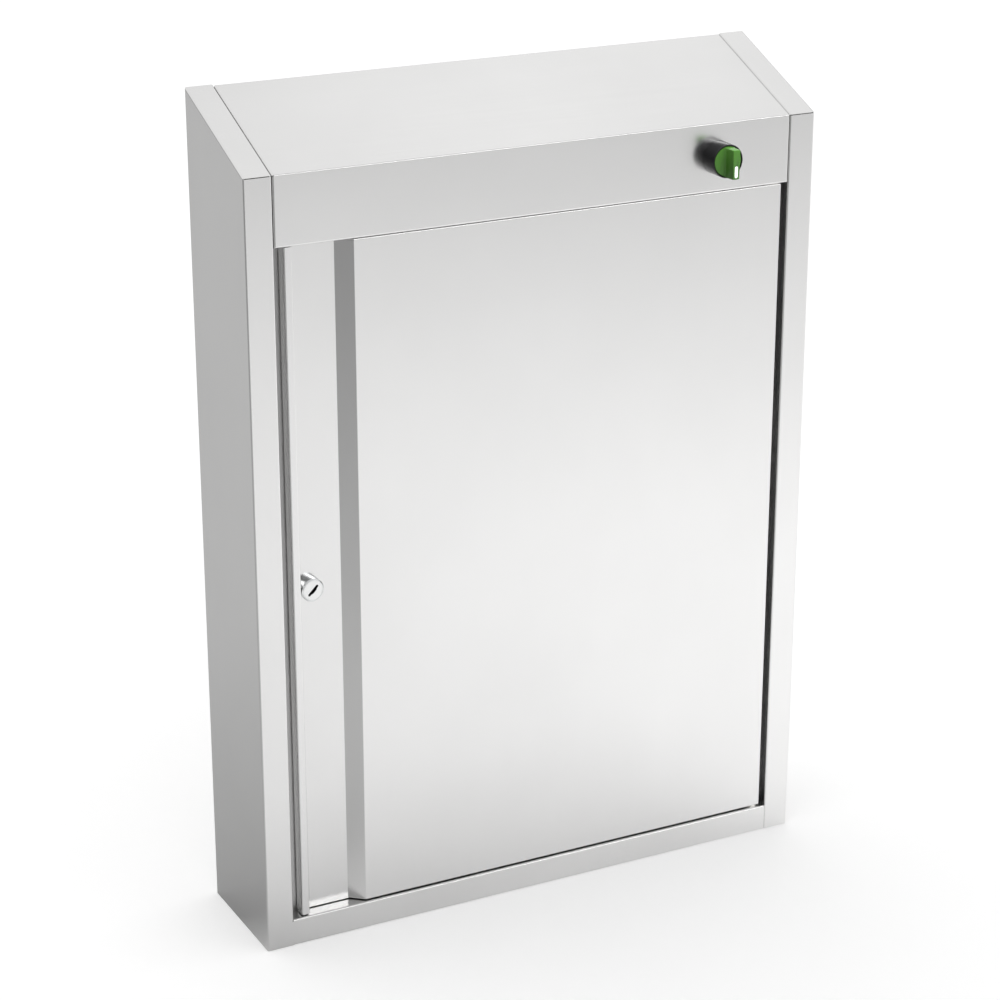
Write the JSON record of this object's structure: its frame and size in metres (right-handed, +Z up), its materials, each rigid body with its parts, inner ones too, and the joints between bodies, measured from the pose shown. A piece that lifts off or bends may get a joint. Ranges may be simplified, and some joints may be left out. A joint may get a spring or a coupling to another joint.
{
  "type": "knife steriliser cabinet",
  "caption": "Stainless wall cabinet with a sloping roof, a lockable door with a recessed grip channel, a green rotary selector and an ultraviolet lamp chamber",
  "frame": {"origin": "centre of the underside of the base between the side plates, on the surface that the cabinet stands on", "axes": "+X to the right as the door is faced, +Y back to the wall, +Z up"},
  "size_m": [0.5, 0.1415, 0.692],
  "materials": {
    "satin_stainless": "satin, fine short grain",
    "plain_stainless": "mill finish",
    "zinc_steel": "bright zinc",
    "bright_chrome": "polished",
    "black_seal": "matte",
    "white_nylon": "smooth",
    "black_plastic": "semi-gloss",
    "green_lens": "semi-gloss, tinted",
    "white_pointer": "semi-gloss",
    "grey_plastic": "moulded",
    "led_white": "moulded",
    "lamp_glass": "clear quartz glass",
    "lamp_cap_metal": "satin",
    "white_plastic": "moulded",
    "bright_aluminium": "bright rolled",
    "ballast_paint": "stove enamel",
    "ferrite": "fired magnet"
  },
  "bodies": {
    "cabinet": {"back_panel": "plain_stainless", "ballast": "ballast_paint", "ballast_screws": "zinc_steel", "base_panel": "satin_stainless", "bottom_pivot_pin": "zinc_steel", "cable_grommet": "black_seal", "contact_blocks": "grey_plastic", "door_bumpers": "black_seal", "earth_nut": "zinc_steel", "earth_stud": "zinc_steel", "guard_hoops": "plain_stainless", "guard_wires": "plain_stainless", "header_partition": "plain_stainless", "hinge_seal": "black_seal", "hinge_stop": "plain_stainless", "knife_rail": "plain_stainless", "knife_rail_magnets": "ferrite", "knife_rail_screws": "zinc_steel", "lamp_end_caps": "lamp_cap_metal", "lamp_reflector": "bright_aluminium", "lampholders": "white_plastic", "latch_stop": "plain_stainless", "led_block": "led_white", "left_side_panel": "satin_stainless", "lock_keeper": "plain_stainless", "partition_screws": "zinc_steel", "reed_switch": "white_plastic", "right_side_panel": "satin_stainless", "roof_and_fascia": "satin_stainless", "roof_rivets": "zinc_steel", "selector_bezel": "black_plastic", "selector_nut": "black_plastic", "starter": "white_plastic", "starter_holder": "white_plastic", "switch_collar": "black_plastic", "terminal_block": "white_plastic", "terminal_screws": "zinc_steel", "top_pivot_pin": "zinc_steel", "uv_lamp_tube": "lamp_glass"},
    "door": {"door_skin": "satin_stainless", "door_liner": "plain_stainless", "hinge_blocks": "plain_stainless", "top_bush": "white_nylon", "bottom_bush": "white_nylon", "lock_body": "bright_chrome", "lock_nut": "zinc_steel", "door_magnet": "white_plastic"},
    "lock_cylinder": {"lock_plug": "bright_chrome", "lock_cam": "zinc_steel", "cam_screw": "zinc_steel"},
    "selector": {"selector_knob": "green_lens", "knob_pointer": "white_pointer"}
  },
  "joints": [
    {"name": "door_swing", "type": "hinge", "parent": "cabinet", "child": "door", "pos_m": [0.216, -0.04845, 0], "axis": [0, 0, 1], "range_deg": [0, 110]},
    {"name": "lock_turn", "type": "hinge", "parent": "door", "child": "lock_cylinder", "pos_m": [-0.2, -0.0439, 0.30745], "axis": [0, 1, 0], "range_deg": [0, 90]},
    {"name": "selector_turn", "type": "hinge", "parent": "cabinet", "child": "selector", "pos_m": [0.159, -0.0565, 0.617], "axis": [0, 1, 0], "range_deg": [0, 90]}
  ]
}
